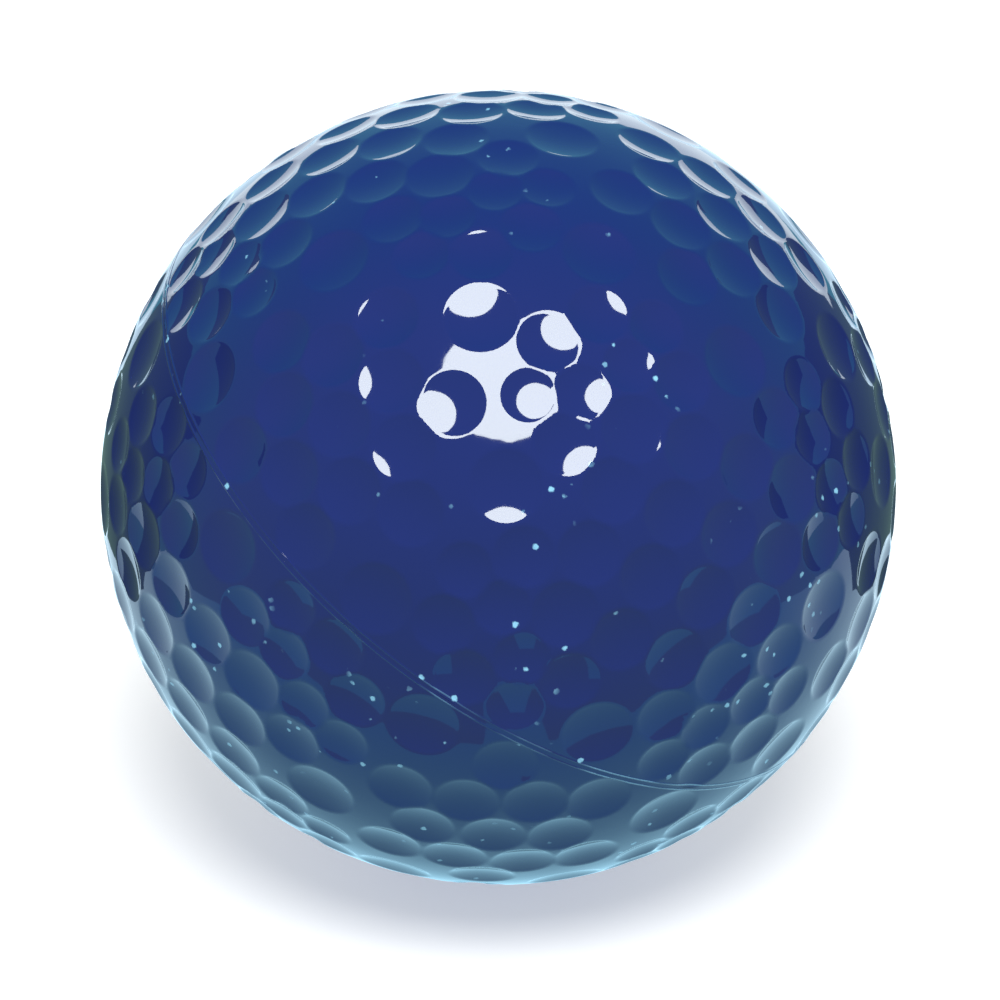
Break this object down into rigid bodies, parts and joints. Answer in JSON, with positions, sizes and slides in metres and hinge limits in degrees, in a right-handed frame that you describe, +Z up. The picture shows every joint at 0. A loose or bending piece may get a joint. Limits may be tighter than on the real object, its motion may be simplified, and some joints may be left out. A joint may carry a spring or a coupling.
{
  "type": "golf ball",
  "caption": "Golf ball with a dimpled two-part cover moulded over a solid rubber core, with a fine parting line round it.",
  "frame": {"origin": "centre of the ball", "axes": "+Z up as the ball lies on level ground, +X to the right and +Y away as seen from the front. The mould axis, square to the parting line, leans 34.3 degrees from +Z towards a heading 8.7 degrees from +X on the -Y side."},
  "size_m": [0.0426, 0.0426, 0.0426],
  "materials": {
    "cover": "dark navy blue ionomer under a clear gloss lacquer",
    "core": "moulded polybutadiene rubber, matt"
  },
  "bodies": {
    "root": {"core": "core", "cover_upper_half": "cover", "cover_lower_half": "cover"}
  },
  "joints": []
}
